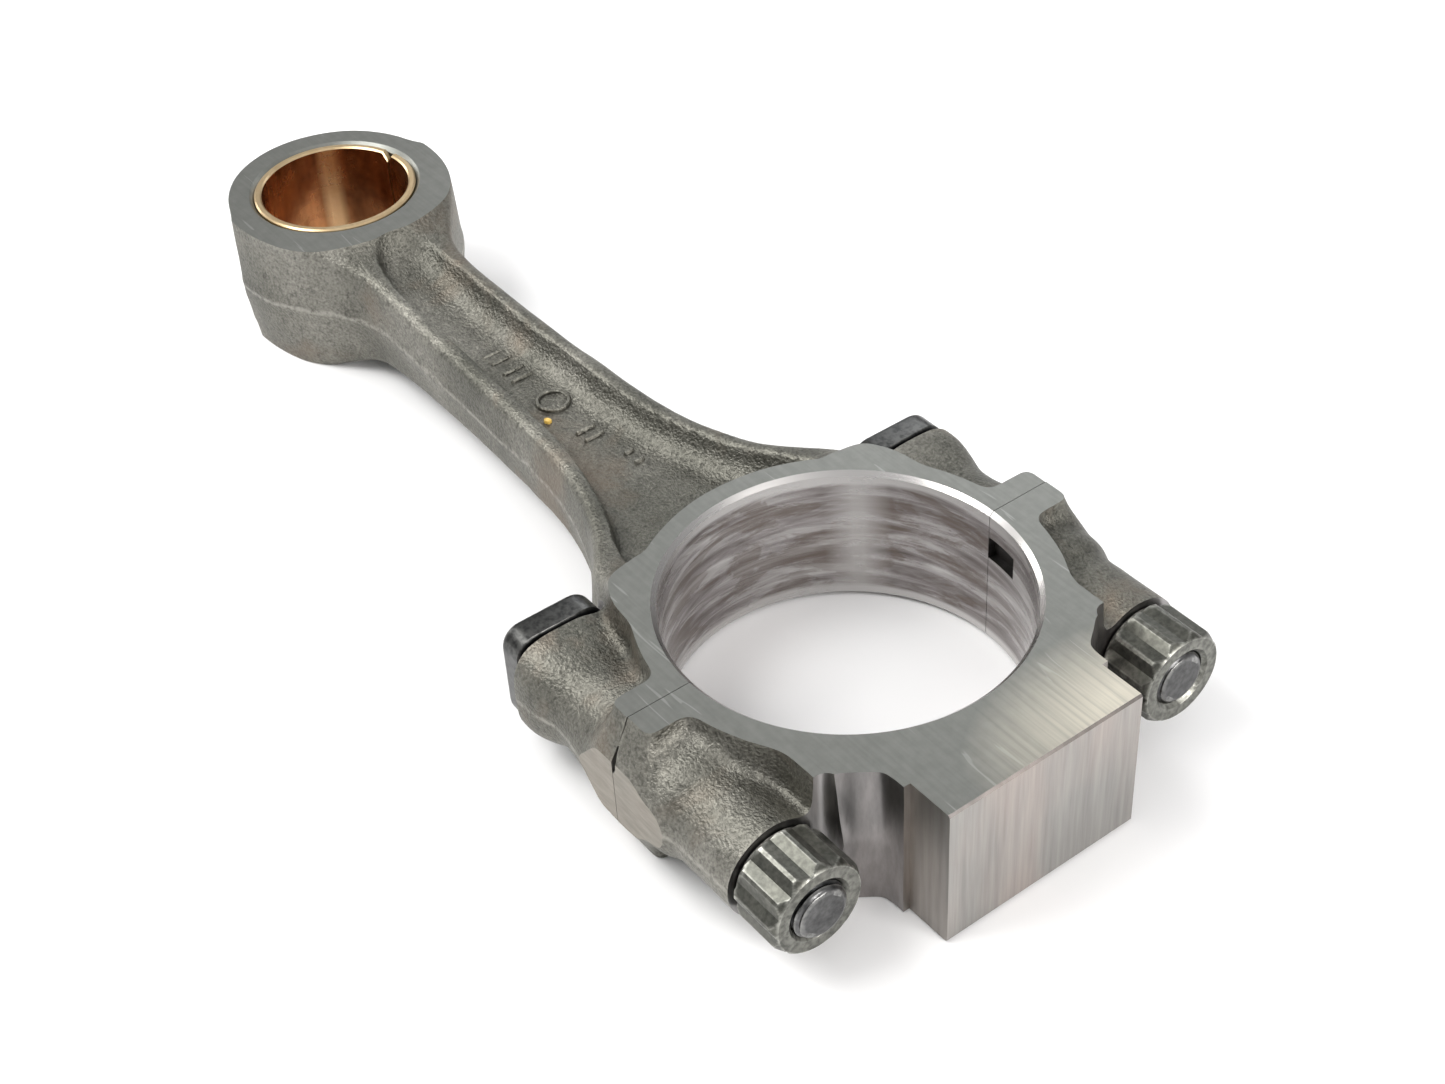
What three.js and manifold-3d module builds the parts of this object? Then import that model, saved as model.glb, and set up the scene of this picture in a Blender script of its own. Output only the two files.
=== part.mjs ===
// Forged connecting rod of a medium-duty V8 diesel, lying flat on its machined side faces.
// +X runs from the big end to the small end and +Z is parallel to both bores.
// Shapes are drawn about the crankpin centre at mid thickness, then moved as one group.
import * as THREE from "three";
import { mergeVertices } from "three/addons/utils/BufferGeometryUtils.js";
import Module from "manifold-3d";

// Driving dimensions in millimetres.
const centreDistance = 181.1;
const rodWidth = 31;
const crankBoreRadius = 34.17;
const boreChamfer = 0.9;
const pinBoreRadius = 16.6;
const bushWall = 1.5;
const smallEndRadius = 23.6;
const smallEndBulge = 0.6;
const boltOffset = 41.7;
const boltRadius = 5.55;
const padReach = 51.8;
const padHalfWidth = 21.4;
const fitGap = 0.3;

// Big end, in plan.
const rodRingRadius = 38.8;
const capRingRadius = 40;
const earReach = 48;
const earFlatReach = 52.3;
const earFlatHalfHeight = 5.5;
const earFlatLength = 12;

// Bolt bosses.
const bossRadius = 9.9;
const collarRadius = 11.1;
const collarStart = 22;
const headSeat = 30.5;
const nutSeat = -31;

// I-beam.
const flangeHalfHeight = 8.8;
const webHalfHeight = 3.4;

// Bolt and nut.
const headThickness = 6.8;
const headWidth = 19.4;
const headHeight = 21;
const headCorner = 4;
const headShift = -0.8;
const headBevel = 1.1;
const nutLength = 11.7;
const nutCornerRadius = 9.8;
const nutFaceRadius = 8.5;
const nutChamfer = 1.1;
const tipChamfer = 1.2;
const tipProud = { left: 1.2, right: 0.2 }; // how far each bolt stands out of its nut

// Locating notches for the bearing shells.
const notchLength = 7.6;
const notchLow = 4.7;
const notchHigh = 9.7;
const notchDepth = 1.6;

// Seam of the wrapped bush.
const seamWidth = 0.5;
const seamNotchHalfWidth = 1.6;
const seamNotchDepth = 2.2;
const seamAngle = THREE.MathUtils.degToRad(-76);

const halfWidth = rodWidth / 2;
const bushOuterRadius = pinBoreRadius + bushWall;
const bushHoleRadius = bushOuterRadius + fitGap;
const nutEnd = nutSeat - fitGap - nutLength;
const overallStart = -padReach;
const overallEnd = centreDistance + smallEndRadius + smallEndBulge;
const roundSegments = 64;
const smallSegments = 32;
const outlineDivisions = 4; // steps on each curve of an outline
const past = 1; // how far a cutter runs past the face that it opens

const wasm = await Module();
wasm.setup();

function solid(geometry) {
  const bare = geometry.clone();
  bare.deleteAttribute("normal");
  bare.deleteAttribute("uv");
  const merged = mergeVertices(bare, 1e-4);
  return new wasm.Manifold(new wasm.Mesh({
    numProp: 3,
    vertProperties: new Float32Array(merged.attributes.position.array),
    triVerts: new Uint32Array(merged.index.array),
  }));
}

function namedMesh(name, body, material) {
  const out = body.getMesh();
  const geometry = new THREE.BufferGeometry();
  geometry.setAttribute("position", new THREE.BufferAttribute(out.vertProperties, 3));
  geometry.setIndex(new THREE.BufferAttribute(out.triVerts, 1));
  geometry.computeVertexNormals();
  const mesh = new THREE.Mesh(geometry, material);
  mesh.name = name;
  return mesh;
}

// A prism of a plan outline between two heights.
function prism(shape, low, high, curveSegments = 12) {
  const geometry = new THREE.ExtrudeGeometry(shape, {
    depth: high - low,
    bevelEnabled: false,
    curveSegments,
  });
  return solid(geometry.translate(0, 0, low));
}

function box(x0, x1, y0, y1, z0, z1) {
  const geometry = new THREE.BoxGeometry(x1 - x0, y1 - y0, z1 - z0);
  return solid(geometry.translate((x0 + x1) / 2, (y0 + y1) / 2, (z0 + z1) / 2));
}

// A body turned about an upright axis at (x, y), from [radius, height] pairs.
function turnedUpright(profile, x, y, segments = roundSegments) {
  const points = profile.map(([radius, height]) => new THREE.Vector2(radius, height));
  const geometry = new THREE.LatheGeometry(points, segments);
  return solid(geometry.rotateX(Math.PI / 2).translate(x, y, 0));
}

// A body turned about a bolt axis, from [radius, x] pairs in order of falling x.
function turnedAlongBolt(profile, y, segments = smallSegments) {
  const points = profile.map(([radius, along]) => new THREE.Vector2(radius, -along));
  const geometry = new THREE.LatheGeometry(points, segments);
  return solid(geometry.rotateZ(Math.PI / 2).translate(0, y, 0));
}

function shankOf(radius, x0, x1, y) {
  return turnedAlongBolt([[0, x1], [radius, x1], [radius, x0], [0, x0]], y);
}

// A half outline on the +Y side becomes a whole one, the same on both sides.
function mirroredShape(half) {
  const upper = half.getPoints(outlineDivisions);
  const lower = upper.slice().reverse().map((p) => new THREE.Vector2(p.x, -p.y));
  return new THREE.Shape([...upper, ...lower.filter((p) => Math.abs(p.y) > 1e-6)]);
}

function polar(radius, degrees) {
  const angle = THREE.MathUtils.degToRad(degrees);
  return [radius * Math.cos(angle), radius * Math.sin(angle)];
}

function arcTo(path, radius, from, to) {
  const start = THREE.MathUtils.degToRad(from);
  const end = THREE.MathUtils.degToRad(to);
  path.absarc(0, 0, radius, start, end, to < from);
}

// The cap's machined face: parting ear, ring, nut clearance and balance pad.
function capFace() {
  const half = new THREE.Path();
  half.moveTo(-fitGap / 2, earReach);
  half.lineTo(-4, earReach);
  half.quadraticCurveTo(-6, earReach, -6, earReach - 2);
  half.lineTo(-6, 43.5);
  half.quadraticCurveTo(-6, 41, ...polar(capRingRadius, 104));
  arcTo(half, capRingRadius, 104, 125);
  half.quadraticCurveTo(-24.5, 31.8, -27, 32.2);
  half.lineTo(-29.4, 32.2);
  half.quadraticCurveTo(-31.5, 32, -31.7, 29.6);
  half.quadraticCurveTo(-32.3, 28.2, -34.6, 27.2);
  half.quadraticCurveTo(-36.4, 23, -40.4, 22.4);
  half.lineTo(-padReach, padHalfWidth);
  return mirroredShape(half);
}

// The rod's machined face: parting ear, ring and the two shoulders where the flanges start.
function rodFace() {
  const half = new THREE.Path();
  half.moveTo(fitGap / 2, earReach);
  half.lineTo(3, earReach);
  half.quadraticCurveTo(5, earReach, 5, earReach - 2);
  half.lineTo(5, 43);
  half.quadraticCurveTo(5.2, 40.2, ...polar(rodRingRadius, 77));
  arcTo(half, rodRingRadius, 77, 60);
  half.quadraticCurveTo(21.5, 32.3, 25, 32.3);
  half.quadraticCurveTo(29.5, 32.3, 30.8, 28.8);
  half.quadraticCurveTo(32.2, 23.5, ...polar(rodRingRadius, 29));
  arcTo(half, rodRingRadius, 29, 0);
  return mirroredShape(half);
}

// The outside of the beam, flaring into both ends.
function beamOutline() {
  const half = new THREE.Path();
  half.moveTo(24, 30.5);
  half.splineThru([
    new THREE.Vector2(38, 28.3),
    new THREE.Vector2(48, 23),
    new THREE.Vector2(57, 18.6),
    new THREE.Vector2(68, 15.2),
    new THREE.Vector2(84, 13.3),
    new THREE.Vector2(106, 12.7),
    new THREE.Vector2(130, 12.9),
    new THREE.Vector2(147, 14.2),
    new THREE.Vector2(158, 17.8),
    new THREE.Vector2(171, 22.2),
  ]);
  half.lineTo(centreDistance, 0);
  return mirroredShape(half);
}

// The pocket between the flanges, round at the small end and following the ring at the big end.
function pocketOutline() {
  const half = new THREE.Path();
  half.moveTo(...polar(rodRingRadius + 3.6, 0));
  arcTo(half, rodRingRadius + 3.6, 0, 24);
  half.quadraticCurveTo(39.6, 21, 43.4, 19.8);
  half.splineThru([
    new THREE.Vector2(52, 16.1),
    new THREE.Vector2(66, 11.4),
    new THREE.Vector2(84, 8.9),
    new THREE.Vector2(112, 8),
    new THREE.Vector2(142, 7.6),
    new THREE.Vector2(151, 6.6),
  ]);
  half.quadraticCurveTo(157.5, 5.4, 157.5, 0);
  return mirroredShape(half);
}

function roundedRect(width, height, corner) {
  const w = width / 2;
  const h = height / 2;
  const shape = new THREE.Shape();
  shape.moveTo(-w + corner, -h);
  shape.lineTo(w - corner, -h);
  shape.absarc(w - corner, -h + corner, corner, -Math.PI / 2, 0);
  shape.absarc(w - corner, h - corner, corner, 0, Math.PI / 2);
  shape.absarc(-w + corner, h - corner, corner, Math.PI / 2, Math.PI);
  shape.absarc(-w + corner, -h + corner, corner, Math.PI, 1.5 * Math.PI);
  return shape;
}

// Upright bore with a chamfer at both faces.
function chamferedBore(radius, chamfer, x) {
  const top = halfWidth;
  const wide = radius + chamfer + past;
  return turnedUpright([
    [0, -top - past],
    [wide, -top - past],
    [radius, -top + chamfer],
    [radius, top - chamfer],
    [wide, top + past],
    [0, top + past],
  ], x, 0);
}

// A shell-locating notch in the bore wall, on the side given, from x0 to x1.
function tangNotch(x0, x1, side) {
  const outer = crankBoreRadius + notchDepth;
  const y0 = side > 0 ? crankBoreRadius - 4 : -outer;
  const y1 = side > 0 ? outer : 4 - crankBoreRadius;
  return box(x0, x1, y0, y1, notchLow, notchHigh);
}

function earFlat(side, x0, x1) {
  const y0 = side > 0 ? boltOffset - 2 : -earFlatReach;
  const y1 = side > 0 ? earFlatReach : 2 - boltOffset;
  return box(x0, x1, y0, y1, -earFlatHalfHeight, earFlatHalfHeight);
}

function bridge(side, x0, x1, inner) {
  const y0 = side > 0 ? inner : -boltOffset;
  const y1 = side > 0 ? boltOffset : -inner;
  return box(x0, x1, y0, y1, -bossRadius, bossRadius);
}

function rodBody() {
  const start = fitGap / 2;
  let body = prism(rodFace(), -halfWidth, halfWidth);
  body = body.add(prism(beamOutline(), -flangeHalfHeight, flangeHalfHeight));
  for (const side of [-1, 1]) {
    const y = side * boltOffset;
    body = body.add(shankOf(bossRadius, start, headSeat, y));
    body = body.add(shankOf(collarRadius, collarStart, headSeat, y));
    body = body.add(earFlat(side, start, earFlatLength));
    body = body.add(bridge(side, start, headSeat, 26));
  }
  const eye = turnedUpright([
    [0, -halfWidth],
    [smallEndRadius, -halfWidth],
    [smallEndRadius + smallEndBulge, 0],
    [smallEndRadius, halfWidth],
    [0, halfWidth],
  ], centreDistance, 0);
  const pocket = pocketOutline();
  body = body.subtract(prism(pocket, webHalfHeight, halfWidth + past));
  body = body.subtract(prism(pocket, -halfWidth - past, -webHalfHeight));
  body = body.add(eye);
  body = body.subtract(chamferedBore(crankBoreRadius, boreChamfer, 0));
  body = body.subtract(chamferedBore(bushHoleRadius, boreChamfer, centreDistance));
  body = body.subtract(tangNotch(-past, notchLength, 1));
  for (const side of [-1, 1]) {
    body = body.subtract(shankOf(boltRadius + fitGap, -past, headSeat + past, side * boltOffset));
  }
  return body;
}

function capBody() {
  const start = -fitGap / 2;
  let body = prism(capFace(), -halfWidth, halfWidth);
  for (const side of [-1, 1]) {
    const y = side * boltOffset;
    body = body.add(shankOf(bossRadius, nutSeat, start, y));
    body = body.add(earFlat(side, -earFlatLength, start));
    body = body.add(bridge(side, nutSeat, start, 26));
  }
  body = body.subtract(chamferedBore(crankBoreRadius, boreChamfer, 0));
  body = body.subtract(tangNotch(-notchLength, past, -1));
  for (const side of [-1, 1]) {
    body = body.subtract(shankOf(boltRadius + fitGap, nutSeat - past, past, side * boltOffset));
  }
  return body;
}

function bushBody() {
  const top = halfWidth - 0.6;
  let body = turnedUpright([
    [pinBoreRadius, -top],
    [bushOuterRadius, -top],
    [bushOuterRadius, top],
    [pinBoreRadius, top],
    [pinBoreRadius, -top],
  ], 0, 0);
  const notch = new THREE.Shape();
  notch.moveTo(-seamNotchHalfWidth, past);
  notch.lineTo(0, -seamNotchDepth);
  notch.lineTo(seamNotchHalfWidth, past);
  const cut = new THREE.ExtrudeGeometry(notch, { depth: bushOuterRadius, bevelEnabled: false });
  cut.rotateZ(Math.PI / 2).rotateY(Math.PI / 2).rotateX(Math.PI / 2);
  cut.translate(pinBoreRadius / 2, 0, top).rotateZ(seamAngle);
  body = body.subtract(solid(cut));
  const seam = new THREE.BoxGeometry(bushOuterRadius, seamWidth, rodWidth);
  seam.translate((pinBoreRadius + bushOuterRadius) / 2, 0, 0).rotateZ(seamAngle);
  body = body.subtract(solid(seam));
  return body.translate([centreDistance, 0, 0]);
}

function boltBody(name, side) {
  const y = side * boltOffset;
  const tip = nutEnd - tipProud[name];
  const shank = turnedAlongBolt([
    [0, headSeat + 2],
    [boltRadius, headSeat + 2],
    [boltRadius, tip + tipChamfer],
    [boltRadius - tipChamfer, tip],
    [0, tip],
  ], y);
  const w = headWidth - 2 * headBevel;
  const h = headHeight - 2 * headBevel;
  const outline = roundedRect(h, w, headCorner - headBevel);
  const head = new THREE.ExtrudeGeometry(outline, {
    depth: headThickness - 2 * headBevel,
    bevelThickness: headBevel,
    bevelSize: headBevel,
    bevelSegments: 2,
    curveSegments: 4,
  });
  head.translate(0, 0, headBevel).rotateY(Math.PI / 2);
  head.translate(headSeat + fitGap, y + side * headShift, 0);
  return shank.add(solid(head));
}

// Two hexagons a twelfth of a turn apart give the twelve points.
function nutBody(side) {
  let points = null;
  for (const turn of [0, Math.PI / 6]) {
    const hexagon = new THREE.CylinderGeometry(nutCornerRadius, nutCornerRadius, nutLength, 6);
    hexagon.rotateY(turn).rotateZ(Math.PI / 2);
    const piece = solid(hexagon);
    points = points ? points.add(piece) : piece;
  }
  const middle = (nutEnd + nutSeat - fitGap) / 2;
  points = points.translate([middle, side * boltOffset, 0]);
  const envelope = turnedAlongBolt([
    [0, nutSeat - fitGap],
    [nutCornerRadius - 0.5, nutSeat - fitGap],
    [nutCornerRadius, nutSeat - fitGap - 0.5],
    [nutCornerRadius, nutEnd + nutChamfer],
    [nutFaceRadius, nutEnd],
    [0, nutEnd],
  ], side * boltOffset, 48);
  const bore = turnedAlongBolt([
    [0, nutSeat + past],
    [boltRadius + fitGap, nutSeat + past],
    [boltRadius + fitGap, nutEnd + 0.6],
    [boltRadius + fitGap + 0.6 + past, nutEnd - past],
    [0, nutEnd - past],
  ], side * boltOffset);
  return points.intersect(envelope).subtract(bore);
}

const forgedSteel = new THREE.MeshStandardMaterial({ color: 0x77776c, roughness: 0.6, metalness: 0.9 });
const bronze = new THREE.MeshStandardMaterial({ color: 0xb9793c, roughness: 0.35, metalness: 1 });
const blackOxide = new THREE.MeshStandardMaterial({ color: 0x34383a, roughness: 0.45, metalness: 0.8 });
const phosphate = new THREE.MeshStandardMaterial({ color: 0x5d5f58, roughness: 0.5, metalness: 0.9 });

const rod = new THREE.Group();
rod.add(namedMesh("rod_forging", rodBody(), forgedSteel));
rod.add(namedMesh("big_end_cap", capBody(), forgedSteel));
rod.add(namedMesh("small_end_bush", bushBody(), bronze));
for (const [name, side] of [["left", 1], ["right", -1]]) {
  rod.add(namedMesh("bolt_" + name, boltBody(name, side), blackOxide));
  rod.add(namedMesh("nut_" + name, nutBody(side), phosphate));
}
rod.position.set(-(overallStart + overallEnd) / 2, 0, halfWidth);

const part = new THREE.Group();
part.add(rod);
export default part;
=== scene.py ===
# Forged connecting rod with a bolted cap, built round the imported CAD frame.
# Shapes are worked out in millimetres about the crankpin centre, then moved into the frame.
import math
import bpy
import bmesh
import numpy as np
from mathutils import Matrix, Vector


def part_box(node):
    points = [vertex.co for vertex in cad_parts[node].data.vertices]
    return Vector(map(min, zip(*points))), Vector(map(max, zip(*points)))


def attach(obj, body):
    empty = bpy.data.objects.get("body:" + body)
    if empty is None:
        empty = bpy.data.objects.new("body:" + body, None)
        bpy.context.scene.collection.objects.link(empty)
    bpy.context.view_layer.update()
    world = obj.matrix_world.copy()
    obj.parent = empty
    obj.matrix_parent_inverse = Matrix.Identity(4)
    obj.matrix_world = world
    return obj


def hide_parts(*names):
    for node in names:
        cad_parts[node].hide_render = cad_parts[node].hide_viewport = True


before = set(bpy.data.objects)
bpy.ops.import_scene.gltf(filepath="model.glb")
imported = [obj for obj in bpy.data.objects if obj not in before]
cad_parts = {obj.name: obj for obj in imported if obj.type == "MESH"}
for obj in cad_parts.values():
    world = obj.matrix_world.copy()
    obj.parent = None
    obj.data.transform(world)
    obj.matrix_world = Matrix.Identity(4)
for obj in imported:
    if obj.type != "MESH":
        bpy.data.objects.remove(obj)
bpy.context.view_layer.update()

mm = 0.001
past = 80                     # in millimetres, beyond every face of the big end
scene = bpy.context.scene

# what every piece shares
bigEnd = {
    "bore": 34.17,
    "boreChamfer": 0.9,
    "boltOffset": 41.7,      # from the rod's centre line to each bolt
    "boltHole": 5.8,
    "boltHoleSpan": (-60, 45),
    "pastEye": 220,
    "padReach": 51.8,        # from the crankpin centre to the balance pad
    "partingGap": 0.06,      # each side of the joint face
    "earFlat": 52.25,        # where the trimming tool took the flash off the ears
    "earFlatSpan": (-17.0, 13.5),
    "headSeat": 30.5,
    "nutSeat": -31.0,
    "seatGap": 0.3,          # under each head and each nut
}

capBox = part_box("big_end_cap")
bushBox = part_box("small_end_bush")
halfWidth = (capBox[1][2] - capBox[0][2]) / 2 / mm
crankCentre = Vector((capBox[0][0] + bigEnd["padReach"] * mm, 0, (capBox[0][2] + capBox[1][2]) / 2))
pinDistance = ((bushBox[0][0] + bushBox[1][0]) / 2 - crankCentre.x) / mm


bushSet = {
    "bore": 16.6,
    "outside": 18.25,
    "below": 0.06,
    "chamfer": 0.35,
    "seam": -76,             # degrees
    "seamWidth": 0.35,
    "notchHalf": 1.5,
    "notchDepth": 2.0,
    "segments": 160,
}


# camera, floor and light

cameraSet = {
    "place": (-0.2397, 0.1944, 0.2933),    # from the crankpin centre
    "right": (-0.60653, -0.79364, -0.04763),
    "up": (0.49575, -0.42435, 0.75775),
    "back": (-0.62158, 0.43598, 0.65082),
    "lens": 58.07,
}

studio = {
    # brightness of the room from straight down to straight up
    "room": [(0.0, 0.50), (0.47, 0.40), (0.58, 0.46), (0.78, 0.76), (1.0, 1.10)],
    "roomStrength": 0.71,
    "floorColour": (0.90, 0.90, 0.905),
    "floorSpan": 6.0,
    "floorDrop": 0.0002,     # below the part's lowest face
    # name, place from the object's middle, size, watts, colour
    "lamps": [
        ("keySoftbox", (0.26, 0.42, 0.70), (0.55, 0.45), 6.2, (1.0, 0.995, 0.98)),
        ("windowStrip", (0.50, -0.72, 0.55), (0.80, 0.20), 2.1, (0.95, 0.97, 1.0)),
        ("sideStrip", (0.85, 0.25, 0.42), (0.20, 0.55), 2.6, (1.0, 0.99, 0.97)),
        ("frontFill", (-0.88, -0.10, 0.42), (0.55, 0.32), 7.4, (1.0, 0.98, 0.96)),
    ],
}


def placeCamera():
    data = bpy.data.cameras.new("benchCamera")
    data.lens = cameraSet["lens"]
    data.sensor_width = 36
    data.clip_start = 0.01
    camera = bpy.data.objects.new("benchCamera", data)
    turn = Matrix((cameraSet["right"], cameraSet["up"], cameraSet["back"])).transposed()
    camera.matrix_world = Matrix.Translation(crankCentre + Vector(cameraSet["place"])) @ turn.to_4x4()
    scene.collection.objects.link(camera)
    scene.camera = camera


def lightStudio():
    world = bpy.data.worlds.new("paleStudio")
    world.use_nodes = True
    tree = world.node_tree
    sky = tree.nodes["Background"]
    around = tree.nodes.new("ShaderNodeTexCoord")
    upward = coordinate(tree, around.outputs["Generated"], "Z")
    upward = arithmetic(tree, "MULTIPLY_ADD", upward, 0.5, 0.5)
    link(tree, ramp(tree, upward, studio["room"]), sky.inputs["Color"])
    sky.inputs["Strength"].default_value = studio["roomStrength"]
    scene.world = world
    for name, place, size, watts, colour in studio["lamps"]:
        lamp = bpy.data.lights.new(name, "AREA")
        lamp.shape = "RECTANGLE"
        lamp.size, lamp.size_y = size
        lamp.energy = watts
        lamp.color = colour
        holder = bpy.data.objects.new(name, lamp)
        holder.location = place
        holder.rotation_euler = Vector(place).to_track_quat("Z", "Y").to_euler()
        scene.collection.objects.link(holder)


# node helpers

def newMaterial(name, metallic=1.0):
    material = bpy.data.materials.new(name)
    material.use_nodes = True
    shader = material.node_tree.nodes["Principled BSDF"]
    shader.inputs["Metallic"].default_value = metallic
    return material, material.node_tree, shader


def link(tree, source, target):
    tree.links.new(source, target)


def objectSpace(tree, scale=(1, 1, 1), move=(0, 0, 0)):
    place = tree.nodes.new("ShaderNodeTexCoord")
    stretch = tree.nodes.new("ShaderNodeMapping")
    stretch.inputs["Scale"].default_value = scale
    stretch.inputs["Location"].default_value = move
    link(tree, place.outputs["Object"], stretch.inputs["Vector"])
    return stretch.outputs["Vector"]


def coordinate(tree, where, axis):
    node = tree.nodes.new("ShaderNodeSeparateXYZ")
    link(tree, where, node.inputs["Vector"])
    return node.outputs[axis]


def noise(tree, where, scale, detail=3.0, roughness=0.55, distortion=0.0):
    node = tree.nodes.new("ShaderNodeTexNoise")
    node.inputs["Scale"].default_value = scale
    node.inputs["Detail"].default_value = detail
    node.inputs["Roughness"].default_value = roughness
    node.inputs["Distortion"].default_value = distortion
    link(tree, where, node.inputs["Vector"])
    return node.outputs["Fac"]


def ramp(tree, source, stops):
    node = tree.nodes.new("ShaderNodeValToRGB")
    marks = node.color_ramp.elements
    while len(marks) < len(stops):
        marks.new(0.5)
    for mark, (position, colour) in zip(marks, stops):
        mark.position = position
        mark.color = (*colour, 1) if isinstance(colour, tuple) else (colour, colour, colour, 1)
    link(tree, source, node.inputs["Fac"])
    return node.outputs["Color"]


def blendColour(tree, factor, first, second, way="MIX"):
    node = tree.nodes.new("ShaderNodeMix")
    node.data_type = "RGBA"
    node.blend_type = way
    for socket, value in ((node.inputs[0], factor), (node.inputs[6], first), (node.inputs[7], second)):
        if isinstance(value, bpy.types.NodeSocket):
            link(tree, value, socket)
        elif isinstance(value, tuple):
            socket.default_value = (*value, 1)
        else:
            socket.default_value = value
    return node.outputs[2]


def tinted(tree, colour, tint):
    return blendColour(tree, 1.0, colour, tint, "MULTIPLY")


def arithmetic(tree, way, first, second=0.0, third=0.0):
    node = tree.nodes.new("ShaderNodeMath")
    node.operation = way
    for socket, value in zip(node.inputs, (first, second, third)):
        if isinstance(value, bpy.types.NodeSocket):
            link(tree, value, socket)
        else:
            socket.default_value = value
    return node.outputs[0]


def rescale(tree, source, low, high):
    node = tree.nodes.new("ShaderNodeMapRange")
    node.inputs["To Min"].default_value = low
    node.inputs["To Max"].default_value = high
    link(tree, source, node.inputs["Value"])
    return node.outputs["Result"]


def bump(tree, shader, heights):
    normal = None
    for height, strength, distance in heights:
        node = tree.nodes.new("ShaderNodeBump")
        node.inputs["Strength"].default_value = strength
        node.inputs["Distance"].default_value = distance
        link(tree, height, node.inputs["Height"])
        if normal is not None:
            link(tree, normal, node.inputs["Normal"])
        normal = node.outputs["Normal"]
    link(tree, normal, shader.inputs["Normal"])


# colour, roughness between two ends of a pattern, and relief
def dress(tree, shader, colour, pattern, roughness, heights):
    link(tree, colour, shader.inputs["Base Color"])
    link(tree, rescale(tree, pattern, *roughness), shader.inputs["Roughness"])
    bump(tree, shader, heights)


def convexity(tree):
    return tree.nodes.new("ShaderNodeNewGeometry").outputs["Pointiness"]


# finishes

forgedLook = {
    "dark": (0.106, 0.105, 0.090),
    "olive": (0.166, 0.162, 0.141),
    "pale": (0.238, 0.231, 0.205),
    "brown": (0.205, 0.165, 0.128),
    "grain": 1700,
    "roughness": (0.42, 0.58),
    "flashLine": 0.0155,     # height of the die line in the frame
    "flashSwing": 0.005,
    "flashFineness": 700,
    "flashHighlight": (0.42, 0.41, 0.37),
}


def forgedSteel():
    material, tree, shader = newMaterial("shotBlastedForging")
    look = forgedLook
    where = objectSpace(tree)
    clouds = noise(tree, where, 38, 4, 0.58)
    grain = noise(tree, where, look["grain"], 2.0, 0.55)
    pits = noise(tree, where, 760, 3, 0.62)
    patches = noise(tree, objectSpace(tree, move=(3.1, 0.4, 0.2)), 55, 3, 0.55, 0.4)
    colour = ramp(tree, clouds, [(0.30, look["dark"]), (0.50, look["olive"]), (0.70, look["pale"])])
    speck = ramp(tree, grain, [(0.34, 0.74), (0.5, 0.98), (0.66, 1.22)])
    colour = tinted(tree, colour, speck)
    colour = tinted(tree, colour, ramp(tree, pits, [(0.34, 0.70), (0.46, 1.0), (0.7, 1.1)]))
    stain = ramp(tree, patches, [(0.54, 0.0), (0.72, 0.60)])
    colour = blendColour(tree, stain, colour, look["brown"])
    # painted shade darkens creases and hollows; convex edges are brightened as wear and as painted
    # highlight
    creaseShadeAndEdgeHighlight = ramp(tree, convexity(tree), [(0.43, 0.32), (0.488, 0.90), (0.505, 1.0), (0.550, 1.16)])
    colour = tinted(tree, colour, creaseShadeAndEdgeHighlight)
    # painted highlight along the ridge where the two dies met, broken up by the pits
    swing = look["flashSwing"]
    wander = arithmetic(tree, "MULTIPLY_ADD", clouds, swing, look["flashLine"] - swing / 2)
    away = arithmetic(tree, "SUBTRACT", coordinate(tree, where, "Z"), wander)
    away = arithmetic(tree, "MULTIPLY", arithmetic(tree, "ABSOLUTE", away), look["flashFineness"])
    line = ramp(tree, away, [(0.12, 0.55), (0.55, 0.0)])
    broken = arithmetic(tree, "MULTIPLY", line, ramp(tree, pits, [(0.40, 0.2), (0.58, 1.0)]))
    colour = blendColour(tree, broken, colour, look["flashHighlight"])
    dress(tree, shader, colour, pits, look["roughness"], [(pits, 0.24, 0.0006), (grain, 0.85, 0.00034)])
    return material


groundLook = {
    "colour": (0.238, 0.242, 0.224),
    "shade": (0.210, 0.214, 0.199),
    "paintedGlare": (-0.1275, -0.0180),
    "paintedGlareReach": 0.019,
    "paintedGlareStretch": 0.55,
    "paintedGlareColour": (0.80, 0.745, 0.62),
    "scar": (0.52, 0.53, 0.50),
    "roughness": (0.36, 0.46),
}


# distance in plan from a point of the frame, y counted shorter or longer
def planDistance(tree, x, y, stretch=1.0):
    where = objectSpace(tree)
    dx = arithmetic(tree, "SUBTRACT", coordinate(tree, where, "X"), x)
    dy = arithmetic(tree, "SUBTRACT", coordinate(tree, where, "Y"), y)
    dy = arithmetic(tree, "MULTIPLY", dy, stretch)
    squares = arithmetic(tree, "MULTIPLY_ADD", dx, dx, arithmetic(tree, "MULTIPLY", dy, dy))
    return arithmetic(tree, "SQRT", squares)


# distance in plan from one place on a bore's wall, as a share of a reach
def besideWall(tree, middle, radius, degrees, reach):
    angle = math.radians(degrees)
    x, y = middle + radius * math.cos(angle), crankCentre.y + radius * math.sin(angle)
    return arithmetic(tree, "DIVIDE", planDistance(tree, x, y), reach)


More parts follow.
